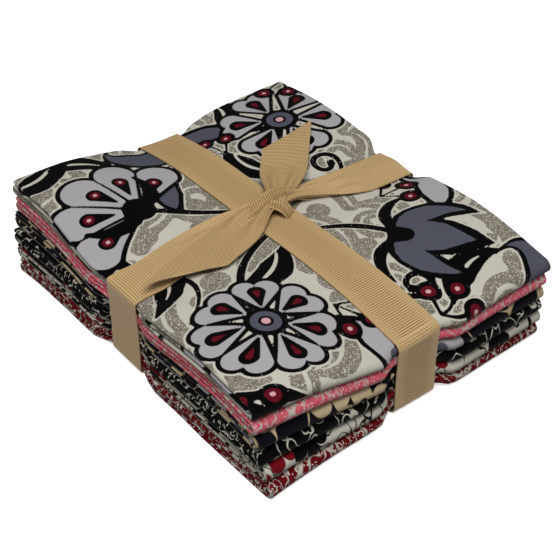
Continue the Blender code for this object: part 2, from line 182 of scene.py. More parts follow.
def end_shift(side, x, corners):
    """How far a quarter's front (-1) or back (1) fold lies from the nominal depth at this X."""
    front_left, front_right, back_right, back_left = corners
    left, right = (front_left, front_right) if side < 0 else (back_left, back_right)
    corner = np.where(x < 0, left[1], right[1])
    spread = np.minimum(np.abs(x) / (WIDTH / 2), 1.0) ** 2
    pinch, middle = (PINCH_FRONT, BAND_Y_FRONT) if side < 0 else (PINCH_BACK, BAND_Y_BACK)
    drawn = (pinch + FULL_ENDS) * near_band(x - middle)
    return corner * spread + side * (FULL_ENDS - drawn)


# Soft creases of the top cloth: where the ribbon draws it in, and where it was pressed flat
CREASES = [
    # start x, y, end x, y, half width, height (troughs are negative)
    (-16.0, -90.0, -38.0, -62.0, 5.0, -0.55),
    (-15.0, -91.0, -21.0, -58.0, 3.6, 0.45),
    (18.0, -90.0, 27.0, -60.0, 4.0, 0.45),
    (20.0, -91.0, 47.0, -66.0, 5.0, -0.5),
    (-72.0, -13.0, -44.0, -27.0, 5.0, -0.6),
    (-73.0, -16.0, -52.0, -44.0, 4.0, 0.4),
    (-73.0, 20.0, -48.0, 37.0, 5.0, -0.6),
    (72.0, 18.0, 45.0, 34.0, 5.0, -0.6),
    (72.0, -14.0, 47.0, -30.0, 5.0, -0.5),
    (14.0, 88.0, 30.0, 58.0, 4.5, -0.5),
    (-14.0, 88.0, -29.0, 60.0, 4.5, -0.45),
    (-60.0, 72.0, -30.0, 78.0, 7.0, 0.35),
    (36.0, 40.0, 66.0, 62.0, 8.0, 0.35),
    (-62.0, -70.0, -34.0, -44.0, 8.0, 0.3),
]


def crease_height(x, y):
    """How far the creases raise or lower the top cloth."""
    total = np.zeros(np.broadcast(x, y).shape)
    for x0, y0, x1, y1, half, rise in CREASES:
        dx, dy = x1 - x0, y1 - y0
        t = np.clip(((x - x0) * dx + (y - y0) * dy) / (dx * dx + dy * dy), 0, 1)
        away = np.hypot(x - x0 - dx * t, y - y0 - dy * t) / half
        total += rise * (1 - 0.75 * t) * np.exp(-away * away)
    return total


def wander(along, seed, size):
    """A slow unevenness along an edge, the same on each run."""
    dice = np.random.default_rng(seed)
    total = np.zeros(np.shape(along))
    for octave in range(4):
        wave = 170.0 / (1.8 ** octave)
        phase = dice.uniform(0, 6.28)
        total = total + np.sin(2 * np.pi * np.asarray(along) / wave + phase) / (1.35 ** octave)
    return size * total / 2.2


def depth_fold(height, fine):
    """Stations along a quarter's length: (y, level, normal y, normal level, length so far). They run from the
    top panel's cut edge at the back round the large front fold, along the bottom panel and round the small
    back fold to the middle panel's end. fine is the spacing on the top panel."""
    panel = (height - 2 * PANEL_GAP) / THIRDS
    bottom = panel / 2
    middle = bottom + panel + PANEL_GAP
    top = middle + panel + PANEL_GAP
    half = DEPTH / 2
    large, small = (top - bottom) / 2, (middle - bottom) / 2
    front_y, back_y = -half + large + panel / 2, half - small - panel / 2
    rows = []
    for y in np.linspace(half - RAW_EDGE_SETBACK, front_y, int((half - front_y) / fine), endpoint=False):
        rows.append((y, top, 0.0, 1.0))
    for turn in np.linspace(0, math.pi, LARGE_FOLD_STEPS, endpoint=False):
        rows.append((front_y - large * math.sin(turn), bottom + large * (1 + math.cos(turn)),
                     -math.sin(turn), math.cos(turn)))
    for y in np.linspace(front_y, back_y, PANEL_STEPS, endpoint=False):
        rows.append((y, bottom, 0.0, -1.0))
    for turn in np.linspace(0, math.pi, SMALL_FOLD_STEPS, endpoint=False):
        rows.append((back_y + small * math.sin(turn), bottom + small * (1 - math.cos(turn)),
                     math.sin(turn), -math.cos(turn)))
    for y in np.linspace(back_y, front_y, PANEL_STEPS):
        rows.append((y, middle, 0.0, 1.0))
    return with_length(rows), panel


def width_fold(pitch, fine):
    """Stations across a quarter's width: (x, layer, length so far). They run from the top layer's cut edge at
    the right round the large left fold, along the bottom layer and round the small right fold to the middle
    layer's end. pitch is the spacing of the three layers."""
    left = -WIDTH / 2 + pitch + CLOTH / 2
    right = WIDTH / 2 - pitch / 2 - CLOTH / 2 - 0.5
    rows = []
    for x in np.linspace(WIDTH / 2 - 0.9, left, int(WIDTH / fine), endpoint=False):
        rows.append((x, 1.0))
    for turn in np.linspace(0, math.pi, LAYER_LARGE_STEPS, endpoint=False):
        rows.append((left - pitch * math.sin(turn), math.cos(turn)))
    for x in np.linspace(left, right, LAYER_STEPS, endpoint=False):
        rows.append((x, -1.0))
    for turn in np.linspace(0, math.pi, LAYER_SMALL_STEPS, endpoint=False):
        rows.append((right + pitch / 2 * math.sin(turn), -0.5 - 0.5 * math.cos(turn)))
    for x in np.linspace(right, left + pitch, LAYER_STEPS):
        rows.append((x, 0.0))
    return with_length(rows, pitch)


def with_length(rows, pitch=1.0):
    """Add to each row how far along the cloth it lies."""
    rows = np.array(rows)
    steps = np.hypot(np.diff(rows[:, 0]), np.diff(rows[:, 1]) * pitch)
    return np.column_stack([rows, np.concatenate([[0.0], np.cumsum(steps)])])


def folded_quarter(level_low, height, corners, mirrored, seed, fine):
    """One folded quarter's middle surface: a grid of points, and the cloth's own place of each, in mm."""
    along, panel = depth_fold(height, fine)
    pitch = (panel - CLOTH) / 2
    across = width_fold(pitch, fine)
    x = across[:, None, 0] * (-1 if mirrored else 1) + 0 * along[None, :, 0]
    layer = across[:, None, 1] * pitch
    u, v = across[:, None, -1] + 0 * x, along[None, :, -1] + 0 * x
    y = along[None, :, 0] + along[None, :, 2] * layer
    level = along[None, :, 1] + along[None, :, 3] * layer
    left, right = ease((-x - 50) / 26), ease((x - 50) / 26)
    front, back = ease((-y - 60) / 33), ease((y - 60) / 33)
    # Each fold and edge wanders a little inwards on its own
    x = x + left * (side_x(-1, y, corners) + WIDTH / 2 + 0.2 + wander(v, seed, 0.45))
    x = x + right * (side_x(1, y, corners) - WIDTH / 2 - 0.2 + wander(v, seed + 1, 0.45))
    y = y + front * (end_shift(-1, x, corners) + 0.2 + wander(u, seed + 2, 0.3))
    y = y + back * (end_shift(1, x, corners) - 0.3 + wander(u, seed + 3, 0.5))
    share = (level_low + level) / NOMINAL_HEIGHT
    low = bottom_height(x, y)
    z = low + share * (top_height(x, y) - low) + crease_height(x, y) * ease((share - 0.72) / 0.28)
    return np.stack([x, y, z], axis=-1), np.stack([u, v], axis=-1)


def unit(vectors):
    """The same directions, one long."""
    return vectors / np.maximum(np.linalg.norm(vectors, axis=-1, keepdims=True), 1e-9)


def grid_normals(grid, closed=False):
    """The direction in which each grid point faces."""
    if closed:
        along = np.roll(grid, -1, axis=0) - np.roll(grid, 1, axis=0)
    else:
        along = np.gradient(grid, axis=0)
    return unit(np.cross(along, np.gradient(grid, axis=1)))


def shell(grid, thick, closed=False):
    """Give a grid of points its thickness. Returns the vertices, outer ones first, and the faces."""
    rows, columns = grid.shape[:2]
    normal = grid_normals(grid, closed)
    half = normal * thick / 2
    verts = np.concatenate([(grid + half).reshape(-1, 3), (grid - half).reshape(-1, 3)])
    index = np.arange(rows * columns).reshape(rows, columns)
    under = index + rows * columns
    if closed:
        index, under = (np.vstack([table, table[:1]]) for table in (index, under))

    def band(a, b, c, d):
        return np.stack([a.ravel(), b.ravel(), c.ravel(), d.ravel()], axis=1)

    faces = [band(index[:-1, :-1], index[1:, :-1], index[1:, 1:], index[:-1, 1:]),
             band(under[:-1, :-1], under[:-1, 1:], under[1:, 1:], under[1:, :-1]),
             band(index[:-1, 0], under[:-1, 0], under[1:, 0], index[1:, 0]),
             band(index[:-1, -1], index[1:, -1], under[1:, -1], under[:-1, -1])]
    if not closed:
        faces += [band(index[0, :-1], index[0, 1:], under[0, 1:], under[0, :-1]),
                  band(index[-1, :-1], under[-1, :-1], under[-1, 1:], index[-1, 1:])]
    return verts, np.concatenate(faces)


def add_piece(name, verts, faces, places, values):
    """Make one mesh piece. places is each vertex's own place on the cloth in mm, for the UV map, and values
    are its other named numbers."""
    verts = (np.asarray(verts) + (*STACK_CENTRE, 0.0)) * MM
    mesh = bpy.data.meshes.new(name)
    mesh.vertices.add(len(verts))
    mesh.vertices.foreach_set("co", verts.ravel())
    mesh.loops.add(faces.size)
    mesh.loops.foreach_set("vertex_index", faces.ravel())
    mesh.polygons.add(len(faces))
    mesh.polygons.foreach_set("loop_start", np.arange(len(faces)) * faces.shape[1])
    mesh.polygons.foreach_set("use_smooth", np.ones(len(faces), bool))
    mesh.update(calc_edges=True)
    cloth = mesh.uv_layers.new(name="cloth")
    cloth.data.foreach_set("uv", (places[faces.ravel()] * MM).ravel())
    for key, numbers in values.items():
        mesh.attributes.new(key, "FLOAT", "POINT").data.foreach_set("value", np.asarray(numbers, float))
    mesh.set_sharp_from_angle(angle=SHARP_ANGLE)
    obj = bpy.data.objects.new(name, mesh)
    bpy.context.scene.collection.objects.link(obj)
    return obj


# The floral print of the top quarter, as distances from each motif's edge in mm. Its motifs lie on a plane
# with X and Y as the top panel has them, and repeat beyond it.
REPEAT_X, REPEAT_Y = 190.0, 236.0
FAR = 9.0


def curve(start, pull_start, pull_end, end, steps=14):
    """Points of a smooth curve between two ends."""
    t = np.linspace(0, 1, steps)[:, None]
    a, b, c, d = (np.array(p, float) for p in (start, pull_start, pull_end, end))
    return (1 - t) ** 3 * a + 3 * (1 - t) ** 2 * t * b + 3 * (1 - t) * t * t * c + t ** 3 * d


def scroll(centre, wide, narrow, start, turns, steps=30):
    """Points of a spiral that winds from its wide end to its narrow one. Angles in degrees."""
    t = np.linspace(0, 1, steps)
    angle = np.radians(start) + 2 * np.pi * turns * t
    radius = wide + (narrow - wide) * t ** 0.8
    return np.column_stack([centre[0] + radius * np.cos(angle), centre[1] + radius * np.sin(angle)])


def stroke(x, y, path, widths):
    """How far inside a brush stroke each point lies. widths are the half widths along the path."""
    best = np.full(x.shape, -99.0)
    widths = np.interp(np.linspace(0, 1, len(path)), np.linspace(0, 1, len(widths)), widths)
    for (x0, y0), (x1, y1), w0, w1 in zip(path[:-1], path[1:], widths[:-1], widths[1:]):
        dx, dy = x1 - x0, y1 - y0
        t = np.clip(((x - x0) * dx + (y - y0) * dy) / (dx * dx + dy * dy + 1e-9), 0, 1)
        np.maximum(best, w0 + (w1 - w0) * t - np.hypot(x - x0 - dx * t, y - y0 - dy * t), out=best)
    return best


def disc(x, y, at, radius):
    """How far inside a disc each point lies."""
    return radius - np.hypot(x - at[0], y - at[1])


class Print:
    """A print in layers. Each layer says how far inside its colour a point of the cloth lies, in mm."""

    LAYERS = ("glitter", "ink", "mauve", "slate", "wine", "blush")

    def __init__(self, x, y):
        self.x, self.y = x, y
        self.layers = {name: np.full(x.shape, -FAR) for name in self.LAYERS}

    def near(self, at, reach, turn, size):
        """Which points lie near a motif, and their places in its own frame."""
        dx = (self.x - at[0] + REPEAT_X / 2) % REPEAT_X - REPEAT_X / 2
        dy = (self.y - at[1] + REPEAT_Y / 2) % REPEAT_Y - REPEAT_Y / 2
        found = np.nonzero(dx * dx + dy * dy < (reach * size) ** 2)[0]
        dx, dy = dx[found], dy[found]
        c, s = math.cos(math.radians(turn)), math.sin(math.radians(turn))
        return found, (dx * c + dy * s) / size, (dy * c - dx * s) / size

    def put(self, found, size, outline, halo=0.8, **fills):
        """Lay a motif over what is there, with a thin bare line between it and the glitter."""
        for name, values in self.layers.items():
            if name != "ink":
                gap = halo if name == "glitter" else 0.0
                values[found] = np.minimum(values[found], -(outline * size + gap))
        for name, depth in fills.items():
            values = self.layers[name]
            values[found] = np.maximum(values[found], depth * size)

    def plume(self, at, size=1.0, turn=0.0, flip=1):
        """A glitter shadow: a leafy scroll with bare veins."""
        found, x, y = self.near(at, 44, turn, size)
        y = y * flip
        back = scroll((10, 4), 13, 3.5, 200, 1.15)
        body = stroke(x, y, back, (1.2, 5.6, 5.2, 4.0, 3.0, 2.6))
        for reach, spot, big in ((0.16, (-9.5, 14.5), 5.2), (0.3, (-12, 5), 4.6), (0.5, (-2.5, 21.5), 4.8),
                                 (0.7, (12, 24), 4.2), (0.9, (24, 18), 3.8)):
            body = np.maximum(body, disc(x, y, spot, big))
        tail = stroke(x, y, curve((-2, -2), (-10, -14), (-22, -14), (-32, -6)), (3.6, 4.6, 3.2, 0.6))
        body = np.maximum(body, tail)
        vein = np.maximum(stroke(x, y, back, (0.2, 0.75, 0.7, 0.5, 0.4)),
                          stroke(x, y, curve((-2, -3), (-9, -13), (-20, -13), (-29, -7)), (0.7, 0.6, 0.2)))
        values = self.layers["glitter"]
        values[found] = np.maximum(np.minimum(values[found], -vein * size), np.minimum(body, -vein) * size)

    def shadow_bloom(self, at, size=1.0, turn=0.0, petals=6):
        """A glitter shadow: a small round flower with a bare ring."""
        found, x, y = self.near(at, 24, turn, size)
        body = disc(x, y, (0, 0), 7.5)
        for k in range(petals):
            a = 2 * math.pi * k / petals
            body = np.maximum(body, disc(x, y, (10 * math.cos(a), 10 * math.sin(a)), 5.4))
        ring = 0.7 - np.abs(np.hypot(x, y) - 6.2)
        values = self.layers["glitter"]
        values[found] = np.maximum(values[found], np.minimum(body, -ring) * size)

    def stem(self, path, widths=(1.1, 1.3, 0.9), halo=0.5):
        """A black stem."""
        middle = path.mean(axis=0)
        reach = np.hypot(*(path - middle).T).max() + 8
        found, x, y = self.near(middle, reach, 0, 1)
        body = stroke(x, y, path - middle, widths)
        self.put(found, 1, body, halo, ink=body)

    def curl(self, at, size=1.0, turn=0.0, flip=1):
        """A black curl that ends in a ball."""
        found, x, y = self.near(at, 30, turn, size)
        y = y * flip
        path = np.vstack([curve((-20, -6), (-12, -10), (-2, -12), (5, -7.5), 8),
                          scroll((2, 0), 8, 3.2, -62, 1.05, 22)])
        body = np.maximum(stroke(x, y, path, (0.3, 1.0, 1.5, 1.5, 1.3, 1.2)), disc(x, y, path[-1], 2.1))
        self.put(found, size, body, 0.6, ink=body)

    def leaf(self, at, size=1.0, turn=0.0, bend=6.0, fill=None, wide=5.6):
        """A pointed leaf, all black with a bare vein, or filled inside a black outline."""
        found, x, y = self.near(at, 30, turn, size)
        path = curve((-17, 0), (-7, bend), (7, bend), (18, -bend * 0.5), 18)
        body = stroke(x, y, path, (0.25, wide * 0.62, wide, wide * 0.86, wide * 0.5, 0.2))
        if fill:
            widths = (0.1, wide * 0.5, wide - 1.7, wide * 0.62, wide * 0.26, 0.1)
            inner = stroke(x, y, path[2:-2], widths) - 0.15
            self.put(found, size, body, 0.8, ink=body, **{fill: inner})
        else:
            middle = curve((-12, 0.4), (-5, bend * 0.7), (4, bend * 0.7), (9, 2), 10)
            vein = stroke(x, y, middle, (0.5, 0.9, 0.4))
            self.put(found, size, body, 0.8, ink=np.minimum(body, -vein))

    def sprig(self, at, size=1.0, turn=0.0, flip=1, leaves=5):
        """A stem with small black leaves on both sides."""
        found, x, y = self.near(at, 40, turn, size)
        y = y * flip
        path = curve((-26, -4), (-10, 8), (8, 8), (26, -3), 18)
        body = stroke(x, y, path, (0.9, 1.0, 0.7, 0.4))
        for k in range(leaves):
            px, py = path[3 + k * 3]
            side = 1 if k % 2 else -1
            tip = (px + 8.5, py + side * 9.5)
            blade = curve((px, py), (px + 1, py + side * 5), (px + 4, py + side * 8), tip, 9)
            body = np.maximum(body, stroke(x, y, blade, (0.5, 2.3, 2.6, 1.7, 0.2)))
        self.put(found, size, body, 0.6, ink=body)

    def berries(self, at, size=1.0, turn=0.0, count=3):
        """A spray of black berries with red hearts."""
        found, x, y = self.near(at, 26, turn, size)
        body = wine = blush = np.full(x.shape, -99.0)
        spread = np.linspace(-44, 44, count)
        for k, angle in enumerate(np.radians(spread)):
            reach = 12.5 + (2.5 if k % 2 else 0)
            spot = (reach * math.cos(angle), reach * math.sin(angle))
            body = np.maximum(body, stroke(x, y, np.array([(0, 0), spot]), (0.5, 0.8)))
            body = np.maximum(body, disc(x, y, spot, 4.7))
            wine = np.maximum(wine, disc(x, y, spot, 2.6))
            blush = np.maximum(blush, disc(x, y, spot, 1.0))
        self.put(found, size, body, 0.7, ink=body, wine=wine, blush=blush)

    def rosette(self, at, size=1.0, turn=0.0, petals=7):
        """A round bloom: lobed pale petals, with black drops and red cores, round a slate eye."""
        found, x, y = self.near(at, 34, turn, size)
        body = mauve = drop = wine = np.full(x.shape, -99.0)
        for k in range(petals):
            a = 2 * math.pi * k / petals
            px, py = x * math.cos(a) + y * math.sin(a), y * math.cos(a) - x * math.sin(a)
            lobes = [np.array([(8, 0), (18.6, side * 3.7)]) for side in (1, -1)]
            body = np.maximum(body, np.maximum(*(stroke(px, py, lobe, (2.6, 5.9)) for lobe in lobes)))
            mauve = np.maximum(mauve, np.maximum(*(stroke(px, py, lobe, (1.0, 4.3)) for lobe in lobes)))
            drop = np.maximum(drop, stroke(px, py, np.array([(8.6, 0), (16.6, 0)]), (0.5, 3.3)))
            wine = np.maximum(wine, stroke(px, py, np.array([(13.4, 0), (16.6, 0)]), (0.3, 1.3)))
        eye = disc(x, y, (0, 0), 7.2)
        mauve = np.minimum(mauve, -np.maximum(drop, eye))
        blush = disc(x, y, (0, 0), 1.6)
        body = np.maximum(body, eye)
        slate = np.minimum(disc(x, y, (0, 0), 5.2), -disc(x, y, (0, 0), 2.6))
        self.put(found, size, body, 1.0, ink=body, mauve=mauve, wine=wine, slate=slate, blush=blush)

    def fan(self, at, size=1.0, turn=0.0, petals=5):
        """A half bloom: a fan of pale petals with black drops, on a black cup."""
        found, x, y = self.near(at, 44, turn, size)
        body = mauve = drop = wine = blush = np.full(x.shape, -99.0)
        for angle in np.linspace(-78, 78, petals):
            a = math.radians(angle)
            px, py = x * math.cos(a) + y * math.sin(a), y * math.cos(a) - x * math.sin(a)
            body = np.maximum(body, stroke(px, py, np.array([(4, 0), (25, 0)]), (2.6, 10.2)))
            mauve = np.maximum(mauve, stroke(px, py, np.array([(7, 0), (25, 0)]), (1.7, 8.3)))
            drop = np.maximum(drop, stroke(px, py, np.array([(10, 0), (20, 0)]), (0.3, 3.5)))
            wine = np.maximum(wine, disc(px, py, (20, 0), 2.1))
            blush = np.maximum(blush, disc(px, py, (20, 0), 0.9))
        cup = disc(x, y, (1, 0), 6.4)
        for side in (-1, 1):
            horn = curve((2, side * 2), (-3, side * 10), (5, side * 17), (13, side * 19))
            cup = np.maximum(cup, stroke(x, y, horn, (3, 2.6, 0.3)))
        body = np.maximum(body, cup)
        mauve = np.minimum(mauve, -np.maximum(drop, cup + 0.6))
        self.put(found, size, body, 1.0, ink=body, mauve=mauve, wine=wine, blush=blush)

    def bud(self, at, size=1.0, turn=0.0):
        """A slate bud of three pointed petals with a pale streak, on black leaves."""
        found, x, y = self.near(at, 38, turn, size)
        middle = curve((0, 0), (9, 0), (18, 0), (30, 0))
        body = stroke(x, y, middle, (2.0, 7.6, 8.4, 5.2, 0.3))
        slate = stroke(x, y, middle[:-2], (0.5, 6.0, 7.0, 3.7, 0.2))
        mauve = stroke(x, y, curve((8, 0), (12, 0), (17, 0), (22, 0)), (0.3, 2.0, 1.4, 0.2))
        for side in (1, -1):
            petal = curve((0, 0), (4, side * 13), (17, side * 15), (25, side * 13))
            body = np.maximum(body, stroke(x, y, petal, (2.0, 5.2, 5.0, 3.2, 0.2)))
            slate = np.maximum(slate, stroke(x, y, petal[1:-2], (0.8, 3.8, 3.6, 1.8, 0.1)))
            wing = curve((1, side * 2), (-6, side * 8), (-4, side * 17), (3, side * 21))
            body = np.maximum(body, stroke(x, y, wing, (1.2, 2.1, 1.6, 0.2)))
        slate = np.minimum(slate, -stroke(x, y, np.array([(-2, 0), (3, 0)]), (4.6, 3.4)))
        self.put(found, size, body, 0.9, ink=body, slate=slate, mauve=mauve)

    def drop(self, at, size=1.0, turn=0.0, flip=1):
        """A curled slate drop with a pale heart."""
        found, x, y = self.near(at, 36, turn, size)
        y = y * flip
        path = curve((-2, 0), (14, 4), (20, 16), (6, 22), 18)
        body = stroke(x, y, path, (10.4, 8.6, 6.6, 4.2, 1.4, 0.3))
        slate = stroke(x, y, path[:-3], (8.3, 6.6, 4.4, 2.2, 0.2))
        mauve = stroke(x, y, path[:9] + (-1.0, -0.6), (4.2, 3.2, 1.6, 0.2))
        wine = disc(x, y, (-3.4, -0.8), 1.7)
        self.put(found, size, body, 0.9, ink=body, slate=slate, mauve=mauve, wine=wine)


def top_print(x, y):
    """The whole print of the top quarter: glitter shadows, then stems, leaves, blooms and berries."""
    cloth = Print(x, y)
    for at, size, turn, flip in (
        ((-50, -80), 1.35, 20, 1), ((-24, -34), 1.3, 205, 1), ((-66, -14), 1.25, 110, -1),
        ((24, -74), 1.35, 160, -1), ((70, -46), 1.3, 60, 1), ((34, -14), 1.2, 300, -1),
        ((-30, 36), 1.3, 340, 1), ((-66, 70), 1.35, 70, -1), ((-24, 86), 1.3, 190, 1),
        ((26, 32), 1.3, 30, 1), ((68, 34), 1.3, 250, -1), ((22, 84), 1.35, 120, 1),
        ((70, 88), 1.3, 200, -1), ((-74, 26), 1.1, 260, 1), ((96, -80), 1.3, 40, 1),
        ((96, 60), 1.3, 300, 1), ((96, -10), 1.3, 140, -1), ((0, -112), 1.3, 0, 1),
        ((4, 0), 1.3, 90, 1), ((50, -112), 1.2, 80, 1), ((-60, -112), 1.2, 10, -1),
    ):
        cloth.plume(at, size, turn, flip)
    for at, size, petals in (
        ((-16, -16), 1.1, 6), ((72, -74), 1.1, 5), ((-70, 50), 1.0, 6), ((44, 88), 1.0, 6),
        ((17, 58), 1.0, 5), ((-16, 60), 1.1, 5), ((-76, -48), 1.0, 6),
    ):
        cloth.shadow_bloom(at, size, 12, petals)
    for path in (
        curve((-46, -50), (-42, -22), (-26, -12), (-8, -6), 18),
        curve((36, -42), (32, -28), (24, -20), (10, -14), 18),
        curve((-46, 44), (-32, 34), (-22, 24), (-8, 18), 18),
        curve((50, 58), (34, 42), (26, 28), (12, 20), 18),
        curve((-46, -50), (-22, -60), (-8, -74), (2, -96), 18),
        curve((50, 58), (28, 66), (16, 78), (6, 96), 18),
    ):
        cloth.stem(path, (1.5, 1.8, 1.2))
    for at, size, turn, bend, fill in (
        ((-26, -24), 1.15, 205, 7, None), ((-17, -84), 1.2, 275, 6, "mauve"),
        ((66, -22), 1.25, 70, -6, "mauve"),
        ((-20, 46), 1.15, 66, 6, "slate"), ((-68, 22), 1.1, 115, 6, None), ((-66, 90), 1.2, 20, -6, None),
        ((22, 42), 1.1, 285, -6, None), ((20, 86), 1.25, 140, 6, "slate"),
        ((94, 0), 1.2, 90, 6, None), ((96, -56), 1.2, 40, 6, None), ((94, 80), 1.2, 120, 6, "slate"),
        ((-66, -86), 1.15, 150, 7, None), ((-63, -2), 1.15, 250, 7, None), ((-34, 2), 0.95, 200, -6, None),
        ((44, -78), 1.1, 20, 7, None), ((-48, 84), 1.1, 330, 6, None), ((34, 88), 1.0, 60, -6, None),
    ):
        cloth.leaf(at, size, turn, bend, fill, 6.4)
    for at, size, turn, flip in (
        ((-62, -12), 1.1, 60, 1), ((22, -66), 1.1, 250, 1), ((-26, 78), 1.15, 170, -1),
        ((46, 22), 1.0, 20, 1), ((92, 30), 1.2, 80, 1),
    ):
        cloth.curl(at, size, turn, flip)
    cloth.sprig((112, 40), 1.2, 160, 1)
    cloth.rosette((-46, -54), 1.2, 12)
    cloth.bud((34, -40), 1.42, -46)
    cloth.fan((-42, 40), 1.14, 122)
    cloth.rosette((52, 62), 1.24, 30, 6)
    cloth.drop((70, -98), 1.1, 40, 1)
    cloth.drop((-12, 78), 1.0, 200, -1)
    for at, size, turn, count in (
        ((-15, -58), 1.15, -60, 3), ((18, -88), 1.15, 30, 3), ((50, -14), 1.05, 0, 3),
        ((17, 58), 1.0, 100, 3), ((78, 94), 1.1, 200, 3), ((-78, -98), 1.1, 40, 3), ((96, 100), 1.2, 90, 3),
    ):
        cloth.berries(at, size, turn, count)
    return {name: np.clip(values, -FAR, FAR) for name, values in cloth.layers.items()}


class Value:
    """A number that a material works out over the surface, for use in plain sums."""

    def __init__(self, finish, socket):
        self.finish, self.socket = finish, socket

    def __add__(self, other):
        return self.finish.sum("ADD", self, other)

    def __sub__(self, other):
        return self.finish.sum("SUBTRACT", self, other)

    def __rsub__(self, other):
        return self.finish.sum("SUBTRACT", other, self)

    def __mul__(self, other):
        return self.finish.sum("MULTIPLY", self, other)

    __radd__ = __add__
    __rmul__ = __mul__


class Finish:
    """A material and the nodes that make it."""

    def __init__(self, name, **constants):
        self.material = bpy.data.materials.new(name)
        self.material.use_nodes = True
        self.tree = self.material.node_tree
        self.shader = self.tree.nodes["Principled BSDF"]
        for key, value in constants.items():
            self.shader.inputs[key.replace("_", " ")].default_value = value

    def node(self, kind, settings=None, inputs=None):
        """Add a node: its settings first, then what its sockets hold or take."""
        new = self.tree.nodes.new(kind)
        for key, value in (settings or {}).items():
            if key == "stops":
                ramp = new.color_ramp
                while len(ramp.elements) < len(value):
                    ramp.elements.new(1.0)
                for stop, (place, colour) in zip(ramp.elements, value):
                    stop.position, stop.color = place, colour
            else:
                setattr(new, key, value)
        for key, value in (inputs or {}).items():
            value = value.socket if isinstance(value, Value) else value
            if isinstance(value, bpy.types.NodeSocket):
                self.tree.links.new(value, new.inputs[key])
            else:
                new.inputs[key].default_value = value
        return new

    def value(self, kind, settings=None, inputs=None, output=0):
        """Add a node and take one of its numbers."""
        return Value(self, self.node(kind, settings, inputs).outputs[output])

    def sum(self, operation, *terms, clamp=False):
        """One step of arithmetic."""
        settings = {"operation": operation, "use_clamp": clamp}
        return self.value("ShaderNodeMath", settings, dict(enumerate(terms)))

    def cover(self, inside, blur=0.25):
        """0 outside an edge and 1 inside it."""
        return self.sum("MULTIPLY_ADD", inside, 1 / blur, 0.5, clamp=True)

    def number(self, name):
        """A number that the mesh holds at each point."""
        return self.value("ShaderNodeAttribute", {"attribute_name": name}, output=2)

    def mix(self, factor, first, second, blend="MIX"):
        """Blend two colours."""
        settings = {"data_type": "RGBA", "blend_type": blend}
        return self.node("ShaderNodeMix", settings, {0: factor, 6: first, 7: second}).outputs[2]

    def cloth_place(self, scale=1000.0):
        """The place on the cloth, in mm."""
        place = self.node("ShaderNodeUVMap", {"uv_map": "cloth"}).outputs[0]
        return self.node("ShaderNodeVectorMath", {"operation": "SCALE"}, {0: place, 3: scale}).outputs[0]

    def scaled(self, place, size):
        """The place in a pattern of this size, in mm."""
        return self.node("ShaderNodeMapping", {"vector_type": "TEXTURE"},
                         {0: place, 3: (size, size, size)}).outputs[0]

    def noise(self, place, size, detail=2.0):
        """A soft noise from 0 to 1 with features of this size in mm."""
        return self.value("ShaderNodeTexNoise", {"noise_dimensions": "2D"},
                          {"Vector": place, "Scale": 1 / size, "Detail": detail})

    def cell(self, place, scale=1.0):
        """Random cells: the node that finds each point's own."""
        return self.node("ShaderNodeTexVoronoi", {"voronoi_dimensions": "2D"}, {"Vector": place, "Scale": scale})

    def dice(self, cell):
        """A cell's three random numbers."""
        parts = self.node("ShaderNodeSeparateColor", None, {0: cell.outputs["Color"]})
        return [Value(self, parts.outputs[k]) for k in range(3)]

    def blooms(self, place):
        """Cells one across: each point's reach and angle round its cell's middle, and the cell's numbers."""
        cell = self.cell(place)
        away = self.node("ShaderNodeVectorMath", {"operation": "SUBTRACT"},
                         {0: place, 1: cell.outputs["Position"]})
        parts = self.node("ShaderNodeSeparateXYZ", None, {0: away.outputs[0]})
        x, y = (Value(self, parts.outputs[k]) for k in (0, 1))
        return self.sum("SQRT", x * x + y * y), self.sum("ARCTAN2", y, x), self.dice(cell)

    def glitter(self, place, size=0.4):
        """Fine flecks, each with its own brightness, which picks the painted glints, and its own tone."""
        return self.dice(self.cell(place, 1 / size))[:2]

    def weave(self, place, thread=0.36):
        """The height of a plain weave."""
        parts = self.node("ShaderNodeSeparateXYZ", None, {0: place})
        waves = [self.sum("SINE", Value(self, parts.outputs[k]) * (2 * math.pi / thread)) for k in (0, 1)]
        return waves[0] * waves[1]

    def surface(self, colour, roughness, height=None, strength=0.2, distance=0.00012):
        """Feed the shader."""
        self.tree.links.new(colour, self.shader.inputs["Base Color"])
        if isinstance(roughness, Value):
            self.tree.links.new(roughness.socket, self.shader.inputs["Roughness"])
        else:
            self.shader.inputs["Roughness"].default_value = roughness
        if height is not None:
            bump = self.node("ShaderNodeBump", None,
                             {"Strength": strength, "Distance": distance, "Height": height})
            self.tree.links.new(bump.outputs[0], self.shader.inputs["Normal"])
        return self.material


def tone(red, green, blue):
    """A colour as an eye reads it, from 0 to 255, for a shader."""
    levels = [v / 255 for v in (red, green, blue)]
    return (*(((v + 0.055) / 1.055) ** 2.4 if v > 0.04 else v / 12.92 for v in levels), 1.0)


CREAM, PALE = tone(195, 191, 178), tone(198, 193, 182)
INK, NIGHT = tone(5, 4, 5), tone(11, 11, 19)
MAUVE, SLATE = tone(168, 165, 168), tone(80, 82, 93)
WINE, BLUSH = tone(92, 14, 28), tone(206, 160, 166)
# The near white fleck colour is painted glint on the glitter
BEIGE, GLINT, DUSK = tone(152, 145, 131), tone(232, 229, 220), tone(100, 95, 84)
CORAL, CORAL_DARK, RED, RED_DARK = tone(228, 108, 124), tone(196, 78, 96), tone(112, 14, 24), tone(82, 8, 16)
# The dark gold is painted shade for the grooves between the ribbon's ribs
TAN, GOLD, GOLD_GROOVE_SHADE = tone(190, 172, 136), tone(204, 173, 124), tone(98, 72, 40)


def cotton(name):
    """A matt cotton finish to which a print is added."""
    return Finish(name, Sheen_Weight=0.02, Sheen_Roughness=0.5, Specular_IOR_Level=0.04)


